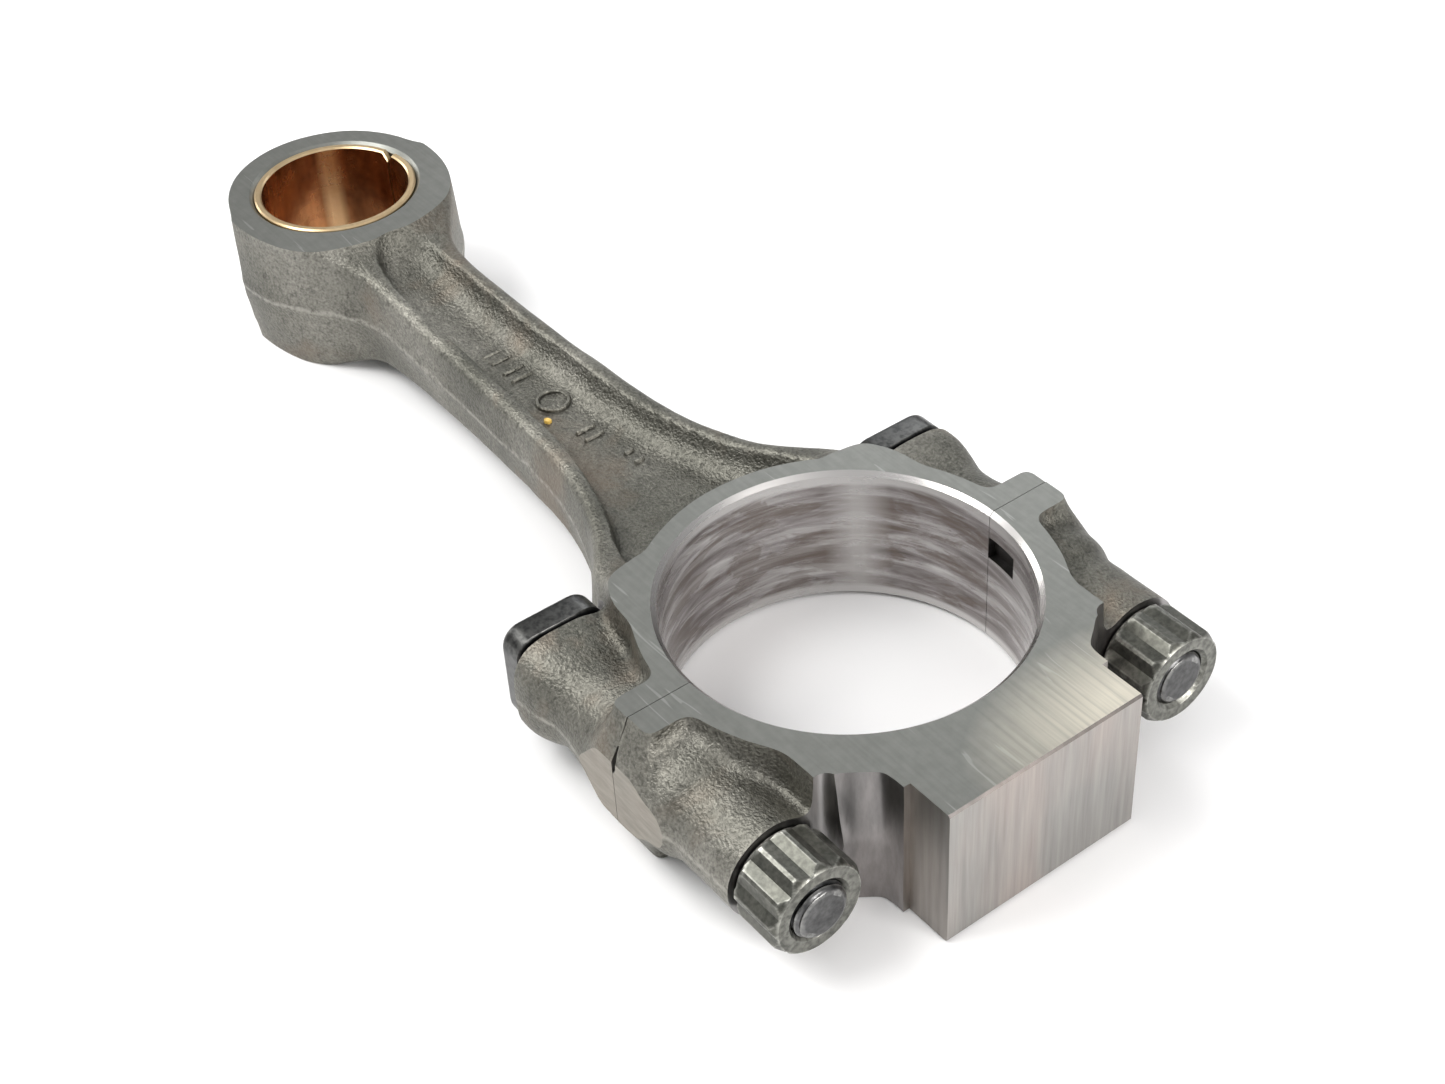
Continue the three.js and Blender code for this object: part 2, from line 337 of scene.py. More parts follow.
def groundFace():
    material, tree, shader = newMaterial("groundFace")
    look = groundLook
    where = objectSpace(tree)
    clouds = noise(tree, where, 26, 4, 0.55)
    mottle = noise(tree, where, 420, 3, 0.55)
    colour = blendColour(tree, clouds, look["shade"], look["colour"])
    colour = tinted(tree, colour, ramp(tree, mottle, [(0.35, 0.95), (0.65, 1.05)]))
    scratches = noise(tree, objectSpace(tree, scale=(0.05, 1.6, 1)), 800, 2, 0.5, 0.1)
    colour = tinted(tree, colour, ramp(tree, scratches, [(0.36, 0.96), (0.64, 1.04)]))
    scars = noise(tree, objectSpace(tree, scale=(0.12, 1.5, 1), move=(0.3, 0.1, 0)), 330, 1.0, 0.4, 1.4)
    bright = ramp(tree, scars, [(0.715, 0.0), (0.735, 0.28)])
    colour = blendColour(tree, bright, colour, look["scar"])
    # painted highlight: a pool of glare painted bright onto the pad's corner, broken by the scratches
    near = planDistance(tree, *look["paintedGlare"], look["paintedGlareStretch"])
    near = arithmetic(tree, "DIVIDE", near, look["paintedGlareReach"])
    near = ramp(tree, near, [(0.15, 0.80), (0.95, 0.0)])
    near = arithmetic(tree, "MULTIPLY", near, ramp(tree, scratches, [(0.36, 0.70), (0.62, 1.0)]))
    colour = blendColour(tree, near, colour, look["paintedGlareColour"])
    relief = [(scratches, 0.06, 0.00006), (mottle, 0.05, 0.00008)]
    dress(tree, shader, colour, clouds, look["roughness"], relief)
    return material


boreLook = {
    "cleanMetalAndHighlight": (0.555, 0.54, 0.53),
    "stain": (0.115, 0.098, 0.090),
    "purple": (0.262, 0.240, 0.236),
    "varnish": (0.150, 0.122, 0.105),
    "highlightAt": -43,       # degrees round the bore
    "highlightRadius": 0.034,
    "highlightReach": 0.010,
    "shellHalf": 0.0165,
    "shellSwing": 0.0022,
    "roughness": (0.20, 0.34),
}


def honedBore(name, stained):
    material, tree, shader = newMaterial(name)
    look = boreLook
    streaks = noise(tree, objectSpace(tree, scale=(0.30, 0.30, 2.6)), 150, 4, 0.62, 0.5)
    colour = ramp(tree, streaks, [(0.26, look["stain"]), (0.46, look["purple"]), (0.72, look["cleanMetalAndHighlight"])])
    # sharp-edged patches of varnish
    spread = objectSpace(tree, scale=(0.5, 0.5, 1.5), move=(0.4, 0.2, 0))
    patches = noise(tree, spread, 120, 5, 0.66, 0.6)
    patches = ramp(tree, patches, [(0.48, 0.0), (0.535, stained)])
    patches = arithmetic(tree, "MULTIPLY", patches, ramp(tree, streaks, [(0.34, 1.0), (0.62, 0.55)]))
    colour = blendColour(tree, patches, colour, look["varnish"])
    # painted highlight: a bright vertical band painted at a fixed angle round the bore
    paintedHighlight = look["highlightRadius"], look["highlightAt"], look["highlightReach"]
    highlightBand = besideWall(tree, crankCentre.x, *paintedHighlight)
    colour = blendColour(tree, ramp(tree, highlightBand, [(0.10, 0.62), (0.65, 0.0)]), colour, look["cleanMetalAndHighlight"])
    # clean bands where the shells did not reach, next to both faces
    level = arithmetic(tree, "SUBTRACT", coordinate(tree, objectSpace(tree), "Z"), crankCentre.z)
    level = arithmetic(tree, "ABSOLUTE", level)
    wavy = arithmetic(tree, "MULTIPLY_ADD", streaks, look["shellSwing"], level)
    band = ramp(tree, arithmetic(tree, "DIVIDE", wavy, look["shellHalf"]), [(0.80, 0.0), (0.86, 1.0)])
    colour = blendColour(tree, band, colour, look["cleanMetalAndHighlight"])
    hone = noise(tree, objectSpace(tree, scale=(0.12, 0.12, 3.0)), 900, 2, 0.5)
    dress(tree, shader, colour, streaks, look["roughness"], [(hone, 0.12, 0.00008)])
    return material


def milledFace(name, warm, grey, roughness, scale, depth):
    material, tree, shader = newMaterial(name)
    marks = noise(tree, objectSpace(tree, scale=scale), 700, 3, 0.6)
    clouds = noise(tree, objectSpace(tree, scale=(1, 1, 0.35)), 60, 3, 0.55)
    colour = blendColour(tree, ramp(tree, clouds, [(0.38, 0.0), (0.62, 1.0)]), grey, warm)
    colour = tinted(tree, colour, ramp(tree, marks, [(0.34, 0.87), (0.66, 1.12)]))
    dress(tree, shader, colour, clouds, roughness, [(marks, depth, 0.0001)])
    return material


bronzeLook = {
    "wall": (0.55, 0.29, 0.135),
    "dark": (0.185, 0.078, 0.036),
    "rim": (0.70, 0.56, 0.36),
    "paintedHighlight": (1.0, 0.74, 0.42),
    "highlightAt": -23,       # degrees round the bore
    "highlightReach": 0.0034,
    "wallRoughness": (0.20, 0.34),
    "rimShade": (0.60, 0.42, 0.22),
    "rimRoughness": (0.24, 0.40),
}


def bronzeWall():
    material, tree, shader = newMaterial("boredBronze")
    look = bronzeLook
    clouds = noise(tree, objectSpace(tree, scale=(1, 1, 0.7)), 110, 4, 0.6)
    highlightStreaks = noise(tree, objectSpace(tree, scale=(1, 1, 0.03)), 260, 2, 0.5)
    rings = noise(tree, objectSpace(tree, scale=(0.08, 0.08, 3)), 900, 2, 0.5)
    colour = ramp(tree, clouds, [(0.30, look["dark"]), (0.62, look["wall"])])
    # painted reflections: vertical light and dark streaks on the wall
    colour = tinted(tree, colour, ramp(tree, highlightStreaks, [(0.36, 0.74), (0.52, 1.0), (0.66, 1.30)]))
    # painted highlight: a bright band painted at a fixed angle round the bush
    middle = crankCentre.x + pinDistance * mm
    highlightBand = besideWall(tree, middle, bushSet["bore"] * mm, look["highlightAt"], look["highlightReach"])
    colour = blendColour(tree, ramp(tree, highlightBand, [(0.30, 0.95), (0.90, 0.0)]), colour, look["paintedHighlight"])
    dress(tree, shader, colour, clouds, look["wallRoughness"], [(rings, 0.10, 0.00008)])
    return material


def bronzeRim():
    material, tree, shader = newMaterial("turnedBronzeRim")
    look = bronzeLook
    marks = noise(tree, objectSpace(tree), 500, 3, 0.6)
    colour = blendColour(tree, marks, look["rimShade"], look["rim"])
    dress(tree, shader, colour, marks, look["rimRoughness"], [(marks, 0.15, 0.0001)])
    return material


def coatedSteel(name, dark, light, edge, roughness, grain):
    material, tree, shader = newMaterial(name, 0.85)
    where = objectSpace(tree)
    clouds = noise(tree, where, 260, 3, 0.55)
    fine = noise(tree, where, grain, 2, 0.55)
    colour = ramp(tree, clouds, [(0.32, dark), (0.68, light)])
    colour = tinted(tree, colour, ramp(tree, fine, [(0.35, 0.78), (0.65, 1.22)]))
    # convex edges brightened, partly as wear and partly as painted highlight
    wornEdgeAndHighlight = ramp(tree, convexity(tree), [(0.515, 0.0), (0.56, 0.85)])
    broken = arithmetic(tree, "MULTIPLY", wornEdgeAndHighlight, ramp(tree, fine, [(0.30, 0.25), (0.6, 1.0)]))
    colour = blendColour(tree, broken, colour, edge)
    dress(tree, shader, colour, clouds, roughness, [(fine, 0.2, 0.00012)])
    return material


# name, warm tone, grey tone, roughness, stretch of the cutter marks, their depth
milledLooks = {
    # the notch walls are painted nearly black: painted shade in the recess
    "notch": ("shadedNotchWall", (0.075, 0.07, 0.068), (0.05, 0.048, 0.047), (0.4, 0.5), (1, 1, 1), 0.12),
    "bevel": ("bevelledEdge", (0.17, 0.15, 0.14), (0.12, 0.11, 0.105), (0.3, 0.4), (1, 1, 1), 0.12),
    "pad": ("milledPad", (0.41, 0.365, 0.34), (0.345, 0.335, 0.32), (0.36, 0.46), (1, 1, 0.05), 0.08),
    "padSide": (
        "milledPadSide", (0.34, 0.31, 0.285), (0.27, 0.255, 0.24), (0.34, 0.46), (1, 1, 0.06), 0.12,
    ),
    "spot": ("spotFace", (0.36, 0.34, 0.335), (0.27, 0.265, 0.262), (0.26, 0.40), (1, 1, 0.08), 0.12),
    "trimmed": (
        "trimmedFlash", (0.285, 0.262, 0.228), (0.245, 0.233, 0.203), (0.42, 0.55), (0.3, 1, 1.4), 0.12,
    ),
    "heel": (
        "dressedHeel", (0.285, 0.265, 0.258), (0.185, 0.180, 0.178), (0.28, 0.42), (1, 1, 0.25), 0.2,
    ),
    "joint": ("partingFace", (0.24, 0.235, 0.22), (0.17, 0.165, 0.155), (0.4, 0.5), (1, 0.3, 1), 0.12),
}

# name, dark tone, light tone, colour of worn edges with painted edge highlight, roughness, fineness of
# the grain
coatedLooks = {
    "tip": (
        "wornThreadEnd", (0.060, 0.060, 0.061), (0.115, 0.115, 0.116), (0.30, 0.30, 0.29),
        (0.24, 0.36), 900,
    ),
    "oxide": (
        "blackOxide", (0.013, 0.0135, 0.014), (0.024, 0.025, 0.0255), (0.11, 0.11, 0.105),
        (0.27, 0.38), 900,
    ),
    "phosphate": (
        "phosphatedNut", (0.076, 0.077, 0.067), (0.104, 0.104, 0.090), (0.46, 0.46, 0.42),
        (0.32, 0.42), 1100,
    ),
}

finish = {
    "forged": forgedSteel(),
    "ground": groundFace(),
    "bore": honedBore("honedBore", 0.75),
    "capBore": honedBore("honedCapBore", 0.25),
    "bronze": bronzeWall(),
    "bronzeRim": bronzeRim(),
}
for key, look in milledLooks.items():
    finish[key] = milledFace(*look)
for key, look in coatedLooks.items():
    finish[key] = coatedSteel(*look)
print("finishes ready")


# distance fields: negative inside, in millimetres

# joins two solids with a fillet of about the radius given
def smoothJoin(a, b, radius):
    h = np.clip(0.5 + 0.5 * (b - a) / radius, 0, 1)
    return b + (a - b) * h - radius * h * (1 - h)


# keeps what two solids share, with the edge between them rounded over
def smoothShare(a, b, radius):
    return -smoothJoin(-a, -b, radius)


def smoothCut(a, b, radius):
    return smoothShare(a, -b, radius)


# a smooth curve through (place, value) pairs
def profile(x, pairs):
    places = np.array([p[0] for p in pairs], float)
    values = np.array([p[1] for p in pairs], float)
    slopes = np.gradient(values, places)
    cell = np.clip(np.searchsorted(places, x) - 1, 0, len(places) - 2)
    span = places[cell + 1] - places[cell]
    t = np.clip((x - places[cell]) / span, 0, 1)
    a, b = values[cell], values[cell + 1]
    sa, sb = slopes[cell] * span, slopes[cell + 1] * span
    return a + t * (sa + t * (3 * (b - a) - 2 * sa - sb + t * (2 * (a - b) + sa + sb)))


# a plan outline raised into a solid whose walls lean out towards mid thickness
def drafted(plan, level, degrees):
    lean = math.radians(degrees)
    return (plan - (halfWidth - level) * math.tan(lean)) * math.cos(lean)


def roundedBox(x, y, x0, x1, y0, y1, corner):
    dx = np.abs(x - (x0 + x1) / 2) - (x1 - x0) / 2 + corner
    dy = np.abs(y - (y0 + y1) / 2) - (y1 - y0) / 2 + corner
    outside = np.hypot(np.maximum(dx, 0), np.maximum(dy, 0))
    return outside + np.minimum(np.maximum(dx, dy), 0) - corner


# slow swell of a forged skin, a few waves in set directions
def forgedSwell(x, y, z, seed, amount, length):
    draw = np.random.default_rng(seed)
    total = 0
    for _ in range(9):
        way = draw.normal(size=3)
        way *= 2 * math.pi / (length * draw.uniform(0.7, 1.6)) / np.linalg.norm(way)
        total = total + np.sin(x * way[0] + y * way[1] + z * way[2] + draw.uniform(0, 6.28))
    return total * amount / 3


# the skin of a field as quads, one vertex in each cell that the surface crosses
def skinOf(field, start, step):
    shape = np.array(field.shape)
    cells = shape - 1
    count = np.zeros(cells.prod())
    total = np.zeros((3, cells.prod()))
    quads = []
    for axis in range(3):
        near = [slice(None)] * 3
        far = [slice(None)] * 3
        near[axis], far[axis] = slice(0, -1), slice(1, None)
        a, b = field[tuple(near)], field[tuple(far)]
        at = np.argwhere((a < 0) != (b < 0))
        low, high = a[tuple(at.T)], b[tuple(at.T)]
        points = at.astype(float)
        points[:, axis] += low / (low - high)
        u, v = (axis + 1) % 3, (axis + 2) % 3
        corners = []
        for du, dv in ((0, 0), (-1, 0), (-1, -1), (0, -1)):
            cell = at.copy()
            cell[:, u] += du
            cell[:, v] += dv
            flat = np.ravel_multi_index(cell.T, cells)
            corners.append(flat)
            count += np.bincount(flat, minlength=len(count))
            for k in range(3):
                total[k] += np.bincount(flat, weights=points[:, k], minlength=len(count))
        ring = np.stack(corners, 1)
        quads.append(np.where((low < 0)[:, None], ring, ring[:, ::-1]))
    used = np.flatnonzero(count)
    number = np.zeros(len(count), int)
    number[used] = np.arange(len(used))
    places = (total[:, used] / count[used]).T * step + start
    return places, number[np.concatenate(quads)]


def pieceFromArrays(name, places, faces, material):
    mesh = bpy.data.meshes.new(name)
    mesh.from_pydata([], [], [])
    mesh.vertices.add(len(places))
    mesh.vertices.foreach_set("co", np.asarray(places, np.float32).ravel())
    sides = faces.shape[1]
    mesh.loops.add(faces.size)
    mesh.loops.foreach_set("vertex_index", faces.astype(np.int32).ravel())
    mesh.polygons.add(len(faces))
    mesh.polygons.foreach_set("loop_start", np.arange(0, faces.size, sides, dtype=np.int32))
    mesh.update(calc_edges=True)
    mesh.validate()
    mesh.materials.append(material)
    piece = bpy.data.objects.new(name, mesh)
    scene.collection.objects.link(piece)
    return piece


def pieceFromShape(name, shape, materials):
    bmesh.ops.recalc_face_normals(shape, faces=shape.faces)
    mesh = bpy.data.meshes.new(name)
    shape.to_mesh(mesh)
    shape.free()
    for material in materials:
        mesh.materials.append(finish[material])
    piece = bpy.data.objects.new(name, mesh)
    scene.collection.objects.link(piece)
    return piece


# skins rows of points, each row a closed ring
def joinRows(shape, rows, closeEnds=True):
    rings = [[shape.verts.new(p) for p in row] for row in rows]
    n = len(rings[0])
    for a, b in zip(rings, rings[1:]):
        for i in range(n):
            shape.faces.new((a[i], a[(i + 1) % n], b[(i + 1) % n], b[i]))
    if closeEnds:
        shape.faces.new(list(reversed(rings[0])))
        shape.faces.new(rings[-1])
    return rings


# cutters

def cutter(name, rows, material):
    shape = bmesh.new()
    joinRows(shape, rows)
    return pieceFromShape(name, shape, [material])


def block(x0, x1, y0, y1, z0, z1, material):
    plan = ((x0, y0), (x1, y0), (x1, y1), (x0, y1))
    return cutter("block", [[(x, y, z) for x, y in plan] for z in (z0, z1)], material)


def circleRow(radius, segments, place):
    row = []
    for i in range(segments):
        angle = 2 * math.pi * (i + 0.5) / segments
        row.append(place(radius * math.cos(angle), radius * math.sin(angle)))
    return row


def uprightTurned(rings, middle, material, segments=160):
    rows = [circleRow(r, segments, lambda u, v, z=z: (middle + u, v, z)) for r, z in rings]
    return cutter("uprightTurned", rows, material)


def boltwiseTurned(rings, middle, material, segments=72):
    rows = [circleRow(r, segments, lambda u, v, x=x: (x, middle + u, v)) for r, x in rings]
    return cutter("boltwiseTurned", rows, material)


# quarter turns round the corners of a rectangle, as (across, level) points
def roundedOutline(low, high, bottom, top, corner, steps):
    middles = ((high - corner, top - corner), (low + corner, top - corner),
               (low + corner, bottom + corner), (high - corner, bottom + corner))
    points = []
    for quarter, (u, v) in enumerate(middles):
        for k in range(steps + 1):
            angle = math.radians(90 * quarter + 90 * k / steps)
            points.append((u + corner * math.cos(angle), v + corner * math.sin(angle)))
    return points


def chamferedHole(radius, chamfer, x, material):
    extra = 2.0
    wide, narrow = (radius + chamfer + extra, halfWidth + extra), (radius, halfWidth - chamfer)
    rings = [(wide[0], -wide[1]), (narrow[0], -narrow[1]), narrow, wide]
    return uprightTurned(rings, x, material)


def combine(piece, cutters, way="DIFFERENCE"):
    for number, tool in enumerate(cutters):
        step = piece.modifiers.new(f"cut{number}", "BOOLEAN")
        step.operation = way
        step.solver = "MANIFOLD"
        step.material_mode = "TRANSFER"
        step.object = tool
    bpy.context.view_layer.update()
    made = piece.evaluated_get(bpy.context.evaluated_depsgraph_get())
    mesh = bpy.data.meshes.new_from_object(made)
    piece.modifiers.clear()
    piece.data = mesh
    for tool in cutters:
        bpy.data.objects.remove(tool)
    return piece


# sharp where two finishes meet and where the surface folds, smooth elsewhere
def sharpenEdges(piece, degrees=30):
    mesh = piece.data
    mesh.shade_smooth()
    mesh.set_sharp_from_angle(angle=math.radians(degrees))
    edgeOf = np.zeros(len(mesh.loops), int)
    mesh.loops.foreach_get("edge_index", edgeOf)
    finishOf = np.zeros(len(mesh.polygons), int)
    mesh.polygons.foreach_get("material_index", finishOf)
    sides = np.zeros(len(mesh.polygons), int)
    mesh.polygons.foreach_get("loop_total", sides)
    perLoop = np.repeat(finishOf, sides)
    lowest = np.full(len(mesh.edges), 99)
    highest = np.full(len(mesh.edges), -1)
    np.minimum.at(lowest, edgeOf, perLoop)
    np.maximum.at(highest, edgeOf, perLoop)
    attribute = mesh.attributes.get("sharp_edge")
    attribute = attribute or mesh.attributes.new("sharp_edge", "BOOLEAN", "EDGE")
    sharp = np.zeros(len(mesh.edges), bool)
    attribute.data.foreach_get("value", sharp)
    attribute.data.foreach_set("value", sharp | (lowest != highest))
    mesh.update()


def intoFrame(piece):
    piece.data.transform(Matrix.Translation(crankCentre) @ Matrix.Scale(mm, 4))
    piece.data.update()
    return piece


def gridOver(low, high, step):
    axes = [np.arange(a, b + step, step) for a, b in zip(low, high)]
    x, y, z = np.ix_(*axes)
    return x, y, z, np.array(low, float)


# ends a field at the outermost layer of its grid, past every face that the cutters will make
def closedIn(field):
    for axis in range(3):
        edge = np.moveaxis(field, axis, 0)
        edge[0] = edge[-1] = 1
    return field


# bosses round the bolts, with the section squaring up where `square` says
def boss(x, ay, z, pairs, square=None):
    radius = profile(x, pairs)
    across, level = np.abs(ay - bigEnd["boltOffset"]), np.abs(z)
    if square is None:
        return np.hypot(across, level) - radius
    power = profile(x, square)
    return (across ** power + level ** power + 1e-6) ** (1 / power) - radius


rodForging = {
    "voxel": 0.72,
    "grid": ((-2, -56, -17.5), (207, 56, 17.5)),
    "swell": (4, 0.07, 16),   # seed, height, length
    "blends": {"lobe": 3.0, "ear": 2.6, "bolt": 4.2, "beam": 4.4, "eye": 7.5},
    "ring": 38.8,
    "draft": 5.0,             # degrees, on every wall that faces sideways
    "lobe": (22.7, 24.8, 8.6),
    "ear": (5.0, 48.2, 1.8),
    "earRoot": 20,
    "earLean": 0.40,
    "eye": 23.95,
    "eyeBore": 18.4,
    "eyeChamfer": 0.9,
    "eyeDraft": 0.35,
    "eyeFoot": 1.9,           # how far the lower half tapers in
    "flash": 0.18,
    "bossEnd": 33,
    "beamStart": 16,
    "beamDraft": 6,
    "bossRadius": [
        (0, 11.5), (6, 11.3), (12, 10.4), (16, 9.7), (19.5, 9.4), (23, 10.1), (27, 10.8),
        (34, 10.8),
    ],
    "bossSquare": [(0, 2.0), (16, 2.0), (26, 3.0), (34, 3.0)],
    "beamHalfWidth": [
        (20, 31.5), (32, 31), (40, 29.0), (44, 26.2), (52, 21.3), (60, 18.0), (70, 15.5),
        (85, 13.9), (97, 13.3), (105, 12.9), (125, 12.4), (145, 12.3), (148, 12.5), (152, 13.6),
        (157, 16.6), (161, 19.2), (166, 21.6), (173, 23.2), (181, 23.6),
    ],
    "beamHeight": [
        (20, 20), (30, 15.8), (33, 13.6), (38, 11.5), (45, 10.1), (52, 9.3), (62, 8.9), (85, 8.7),
        (100, 8.9), (125, 9.4), (135, 9.9), (145, 10.8), (152, 12.2), (158, 13.9), (163, 15.4),
        (168, 16.6), (181, 17),
    ],
    "pocketHalfWidth": [
        (30, 24.5), (38, 22.3), (42, 20.8), (45.6, 19.4), (50, 17.2), (55, 15), (60, 13.4),
        (66, 11.8), (75, 10), (83, 9.1), (93, 8.7), (103, 8.4), (120, 7.8), (132, 7.7), (142, 7.5),
        (151, 6.5), (158, 5.4), (170, 4.2), (181, 4.2),
    ],
    "pocketFloor": [
        (30, 3.4), (116, 3.4), (130, 3.8), (140, 5.0), (148, 7.2), (154, 10.2), (159, 13.4),
        (164, 16), (181, 20),
    ],
    "edgeRound": 2.6,
    "rimRound": 0.8,
    "floorFillet": (2.2, 5.0),   # along the rail on +Y and along the one on -Y
    "wallLean": (10, 20),     # degrees, the pocket's wall on +Y and on -Y
}


def rodField():
    s = rodForging
    blend = s["blends"]
    x, y, z, start = gridOver(*s["grid"], s["voxel"])
    ay, az = np.abs(y), np.abs(z)
    # the ring with its shoulder lobes and parting ears
    ring = np.hypot(x, y) - s["ring"]
    lobeX, lobeY, lobeRadius = s["lobe"]
    lobe = np.hypot(x - lobeX, ay - lobeY) - lobeRadius
    plan = smoothJoin(ring, lobe, blend["lobe"])
    big = drafted(plan, az, s["draft"])
    earHalf, earReach, earCorner = s["ear"]
    reach = earReach + (halfWidth - az) * s["earLean"]
    lean = (halfWidth - az) * math.tan(math.radians(s["draft"]))
    ear = roundedBox(x, ay, -earHalf - lean, earHalf + lean, s["earRoot"], reach, earCorner)
    big = smoothJoin(big, ear, blend["ear"])
    bolts = boss(x, ay, z, s["bossRadius"], s["bossSquare"])
    bolts = np.maximum(bolts, x - s["bossEnd"])
    big = smoothJoin(big, bolts, blend["bolt"])
    # the beam and its pockets
    top = profile(x, s["beamHeight"])
    side = profile(x, s["beamHalfWidth"])
    flank = (ay - side + az * math.tan(math.radians(s["beamDraft"]))) * 0.94
    beam = smoothShare(flank, az - top, s["edgeRound"])
    beam = np.maximum(beam, s["beamStart"] - x)
    beam = np.maximum(beam, x - pinDistance)
    wallLean = np.tan(np.radians(np.where(y > 0, *s["wallLean"])))
    inner = profile(x, s["pocketHalfWidth"]) - (top - az) * wallLean
    floor = profile(x, s["pocketFloor"])
    fillet = np.where(y > 0, *s["floorFillet"])
    pocket = smoothShare((ay - inner) * 0.95, (floor - az) * 0.95, fillet)
    beam = smoothCut(beam, pocket, s["rimRound"])
    body = smoothJoin(beam, big, blend["beam"])
    # the eye, with the flash line at mid thickness
    eye = np.hypot(x - pinDistance, y) - s["eye"]
    eye = drafted(eye, az, s["eyeDraft"]) + s["eyeFoot"] * np.clip((-z - 1) / 14, 0, 1) ** 1.6
    body = smoothJoin(body, eye, blend["eye"])
    line = s["flash"] * np.exp(-(z - 0.4 * np.sin(x * 0.15)) ** 2 / 0.9)
    line = line * np.clip((x - 100) / 40, 0, 1)
    return closedIn(body + forgedSwell(x, y, z, *s["swell"]) - line), start


capForging = {
    "voxel": 0.66,
    "grid": ((-54.5, -56, -17.5), (2, 56, 17.5)),
    "swell": (9, 0.07, 13),
    "blends": {"shoulder": 1.6, "heel": 1.4, "pad": 3.0, "ridge": 1.2, "ear": 2.6, "bolt": 4.2},
    "ring": 40.0,
    "draft": 4.0,
    "ear": (6.0, 48.2, 1.8),
    "earRoot": 20,
    "earLean": 0.40,
    "shoulder": (-32.4, 32.9, 0.8),
    "heel": (43.8, 30.5),
    "heelEnd": -20,
    "padBlock": (-58, -30, 0, 22.2, 0.3),
    "ridgeBlock": (-43.6, -38, 0, 22.9, 0.6),
    "bossEnd": -33,
    "padSide": 21.6,
    "padBevel": 0.45,
    "dressedFrom": (-31.5, 29.8),
    "ridge": -42.1,
    "bossRadius": [(-45, 9.8), (-31, 9.8), (-20, 9.8), (-15, 10.1), (-13, 11), (-5, 11.3), (0, 11.6)],
}


def capField():
    s = capForging
    blend = s["blends"]
    x, y, z, start = gridOver(*s["grid"], s["voxel"])
    ay, az = np.abs(y), np.abs(z)
    lean = (halfWidth - az) * math.tan(math.radians(s["draft"]))
    ring = np.hypot(x, y) - s["ring"]
    edge, reach, corner = s["shoulder"]
    shoulder = roundedBox(x, ay, edge, 0, 0, reach, corner)
    plan = smoothJoin(ring, shoulder, blend["shoulder"])
    heelRadius, heelReach = s["heel"]
    heel = smoothShare(np.hypot(x, y) - heelRadius, ay - heelReach, blend["heel"])
    heel = np.maximum(heel, x - s["heelEnd"])
    plan = smoothJoin(plan, heel, blend["heel"])
    big = drafted(plan, az, s["draft"])
    pad = roundedBox(x, ay, *s["padBlock"])
    ridge = roundedBox(x, ay, *s["ridgeBlock"])
    big = smoothJoin(smoothJoin(big, pad, blend["pad"]), ridge, blend["ridge"])
    earHalf, earReach, earCorner = s["ear"]
    leanOut = earReach + (halfWidth - az) * s["earLean"]
    ear = roundedBox(x, ay, -earHalf - lean, earHalf, s["earRoot"], leanOut, earCorner)
    big = smoothJoin(big, ear, blend["ear"])
    bolts = boss(x, ay, z, s["bossRadius"])
    bolts = np.maximum(bolts, s["bossEnd"] - x)
    big = smoothJoin(big, bolts, blend["bolt"])
    return closedIn(big + forgedSwell(x, y, z, *s["swell"])), start


def forgingBlank(name, field, start, voxel):
    places, faces = skinOf(field, start, voxel)
    return pieceFromArrays(name, places, faces, finish["forged"])


# cuts that both halves of the big end share
def sharedCuts(side):
    s = bigEnd
    cuts = [
        block(-past, s["pastEye"], -past, past, halfWidth, past, "ground"),
        block(-past, s["pastEye"], -past, past, -past, -halfWidth, "ground"),
        block(*s["earFlatSpan"], s["earFlat"], past, -past, past, "trimmed"),
        block(*s["earFlatSpan"], -past, -s["earFlat"], -past, past, "trimmed"),
        chamferedHole(s["bore"], s["boreChamfer"], 0, "bore" if side > 0 else "capBore"),
    ]
    gap = sorted((-side * past, side * s["partingGap"]))
    cuts.append(block(*gap, -past, past, -past, past, "joint"))
    for y in (-s["boltOffset"], s["boltOffset"]):
        cuts.append(boltwiseTurned([(s["boltHole"], x) for x in s["boltHoleSpan"]], y, "joint"))
    return cuts


# seat milled for a bolt head, a rounded pad-shaped slot into the flank of the beam
headSeat = {"inner": 30.6, "outer": 64.6, "half": 12.2, "corner": 4.6, "deep": 14}


def headSlot(sign):
    s = headSeat
    outline = roundedOutline(s["inner"], s["outer"], -s["half"], s["half"], s["corner"], 6)
    near = bigEnd["headSeat"]
    rows = [[(x, sign * y, z) for y, z in outline] for x in (near, near + s["deep"])]
    return cutter("headSlot", rows, "spot")


# the flat under each nut and the rounded corner that the same tool leaves beside it
nutRoom = {"side": 29.6, "radius": 2.6, "steps": 8}


def nutClearance(sign):
    s = nutRoom
    seat, side, radius = bigEnd["nutSeat"], s["side"], s["radius"]
    outline = [(seat, past), (seat, side + radius)]
    for i in range(1, s["steps"] + 1):
        angle = math.radians(90 * i / s["steps"])
        outline.append((seat - radius * (1 - math.cos(angle)), side + radius * (1 - math.sin(angle))))
    outline += [(-past, side), (-past, past)]
    rows = [[(x, sign * y, z) for x, y in outline] for z in (-past, past)]
    return cutter("nutClearance", rows, "spot")


# the worn gap that opens on the outside of each ear, on the cap's edge: (height, reach, depth)
crescent = [(4.4, 52.6, 0.1), (6.0, 51.9, 0.9), (8.0, 51.1, 0.9), (10.4, 50.2, 0.1)]


def jointCrescent(sign):
    rows = []
    for z, y, deep in crescent:
        inner = (-0.25 - 0.5 * deep, y - deep * 0.4)
        outline = ((0.2, y + 2), (0.2, y - deep), inner, (-0.6 - deep, y + 2))
        rows.append([(px, sign * py, z) for px, py in outline])
    return cutter("jointCrescent", rows, "joint")


